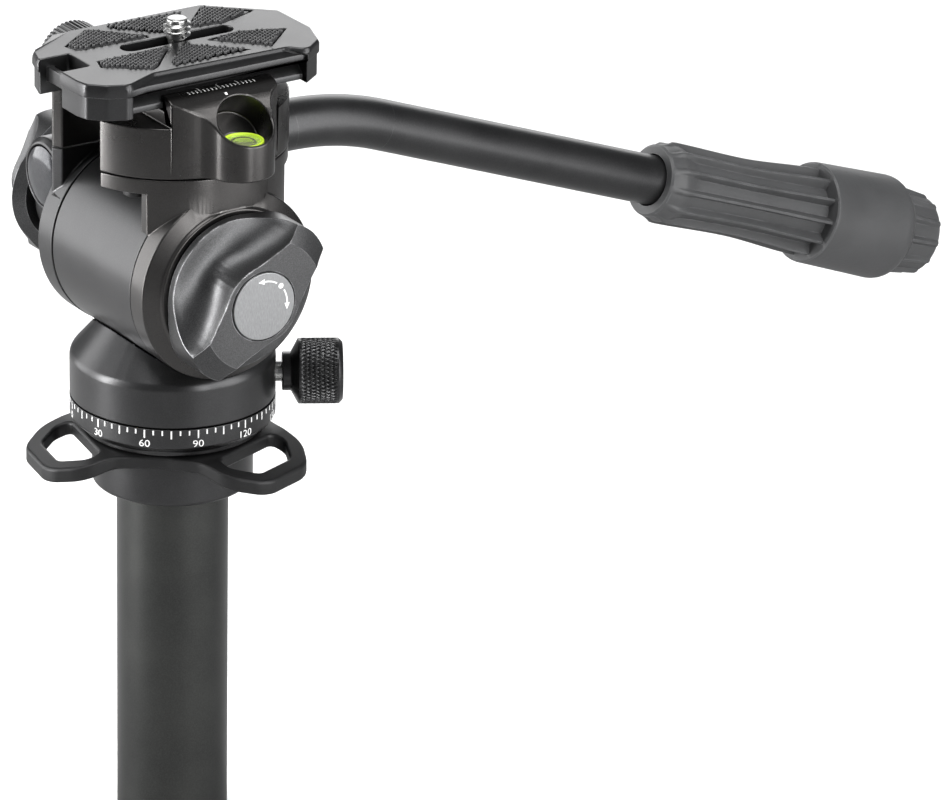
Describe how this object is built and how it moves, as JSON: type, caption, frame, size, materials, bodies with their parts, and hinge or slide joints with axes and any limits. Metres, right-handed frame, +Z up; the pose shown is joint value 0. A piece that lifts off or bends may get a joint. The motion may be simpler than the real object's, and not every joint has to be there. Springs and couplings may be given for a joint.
{
  "type": "fluid video head",
  "caption": "Pan and tilt fluid video head on a cut column: sliding camera plate, side level, wing lock knobs, round scale and a bent rear handle with rubber grip.",
  "frame": {"origin": "centre of the column's lower end", "axes": "+Z up along the column and the pan axis, +X along the tilt axis towards the tilt lock knob, +Y towards the handle, so the lens looks along -Y"},
  "size_m": [0.0975, 0.2767, 0.2004],
  "materials": {
    "black_anodised": "satin black anodised aluminium, fine blasted grain",
    "matt_black": "matt black coated aluminium",
    "satin_black_tube": "satin black anodised tube",
    "rubber": "matt dark rubber",
    "gloss_black": "gloss black cap",
    "bright_steel": "turned bright steel",
    "brushed_silver": "brushed natural aluminium",
    "bearing_bronze": "plain bearing bronze",
    "level_fluid": "yellow-green level vial",
    "level_lens": "clear level window"
  },
  "bodies": {
    "base": {"column_tube": "satin_black_tube", "column_collar": "black_anodised", "mounting_stud": "bright_steel", "loop_plate": "matt_black", "scale_ring": "black_anodised", "pan_post": "bright_steel", "pan_post_nut": "bright_steel", "pan_washer": "bearing_bronze"},
    "pan_body": {"pan_housing": "black_anodised", "tilt_barrel": "black_anodised", "barrel_lid": "black_anodised", "left_bush": "bearing_bronze", "right_bush": "bearing_bronze", "drag_disc_left": "bearing_bronze", "drag_disc_right": "bearing_bronze", "saddle_screw_1": "bright_steel", "saddle_screw_2": "bright_steel", "pan_brake_shoe": "bearing_bronze"},
    "pan_lock": {"pan_lock_knob": "black_anodised", "pan_lock_stem": "bright_steel"},
    "tilt_body": {"left_cheek": "black_anodised", "right_cheek": "black_anodised", "clamp_body": "black_anodised", "ledge_screw_1": "bright_steel", "ledge_screw_2": "bright_steel", "level_vial": "level_fluid", "level_lens": "level_lens", "tilt_axle": "bright_steel", "drag_rotor": "bright_steel"},
    "tilt_lock": {"tilt_lock_knob": "black_anodised", "tilt_knob_disc": "brushed_silver"},
    "jaw": {"clamp_jaw": "black_anodised"},
    "jaw_knob": {"clamp_knob": "black_anodised", "clamp_screw": "bright_steel"},
    "plate": {"camera_plate": "black_anodised", "plate_pad_front_left": "rubber", "plate_pad_front_right": "rubber", "plate_pad_middle_left": "rubber", "plate_pad_middle_right": "rubber", "plate_pad_rear_left": "rubber", "plate_pad_rear_right": "rubber"},
    "screw_carriage": {"camera_screw_washer": "bearing_bronze"},
    "screw": {"camera_screw": "bright_steel"},
    "handle": {"handle_block": "black_anodised", "handle_socket_cap": "gloss_black", "handle_tube": "satin_black_tube", "grip_sleeve": "rubber", "grip_end_cap": "rubber", "handle_lock_washer": "bright_steel"},
    "handle_lock": {"handle_lock_knob": "black_anodised", "handle_knob_disc": "brushed_silver", "handle_lock_screw": "bright_steel"}
  },
  "joints": [
    {"name": "pan_turn", "type": "hinge", "parent": "base", "child": "pan_body", "pos_m": [0, 0, 0.1097], "axis": [0, 0, 1], "continuous": true},
    {"name": "pan_lock_turn", "type": "hinge", "parent": "pan_body", "child": "pan_lock", "pos_m": [0.015, 0.02598, 0.1144], "axis": [0.5, 0.866, 0], "range_deg": [0, 360]},
    {"name": "tilt_turn", "type": "hinge", "parent": "pan_body", "child": "tilt_body", "pos_m": [0, 0, 0.1441], "axis": [1, 0, 0], "range_deg": [-60, 90]},
    {"name": "tilt_lock_turn", "type": "hinge", "parent": "tilt_body", "child": "tilt_lock", "pos_m": [0.03, 0, 0.1441], "axis": [1, 0, 0], "range_deg": [0, 120]},
    {"name": "jaw_slide", "type": "slide", "parent": "tilt_body", "child": "jaw", "axis": [-1, 0, 0], "range_m": [0, 0.0015]},
    {"name": "jaw_knob_turn", "type": "hinge", "parent": "jaw", "child": "jaw_knob", "pos_m": [-0.031, -0.005, 0.1811], "axis": [-1, 0, 0], "range_deg": [0, 540]},
    {"name": "plate_slide", "type": "slide", "parent": "tilt_body", "child": "plate", "axis": [0, 1, 0], "range_m": [-0.008, 0.008]},
    {"name": "screw_slide", "type": "slide", "parent": "plate", "child": "screw_carriage", "axis": [0, 1, 0], "range_m": [-0.0115, 0.0115]},
    {"name": "screw_turn", "type": "hinge", "parent": "screw_carriage", "child": "screw", "pos_m": [0, 0.001, 0.1955], "axis": [0, 0, 1], "continuous": true},
    {"name": "handle_turn", "type": "hinge", "parent": "tilt_body", "child": "handle", "pos_m": [-0.034, 0, 0.1441], "axis": [-1, 0, 0], "range_deg": [-45, 30]},
    {"name": "handle_lock_turn", "type": "hinge", "parent": "tilt_body", "child": "handle_lock", "pos_m": [-0.05, 0, 0.1441], "axis": [-1, 0, 0], "range_deg": [0, 120]}
  ],
  "couplings": [
    {"joint": "jaw_knob_turn", "follows": "jaw_slide", "rad_per_m": 6280}
  ]
}
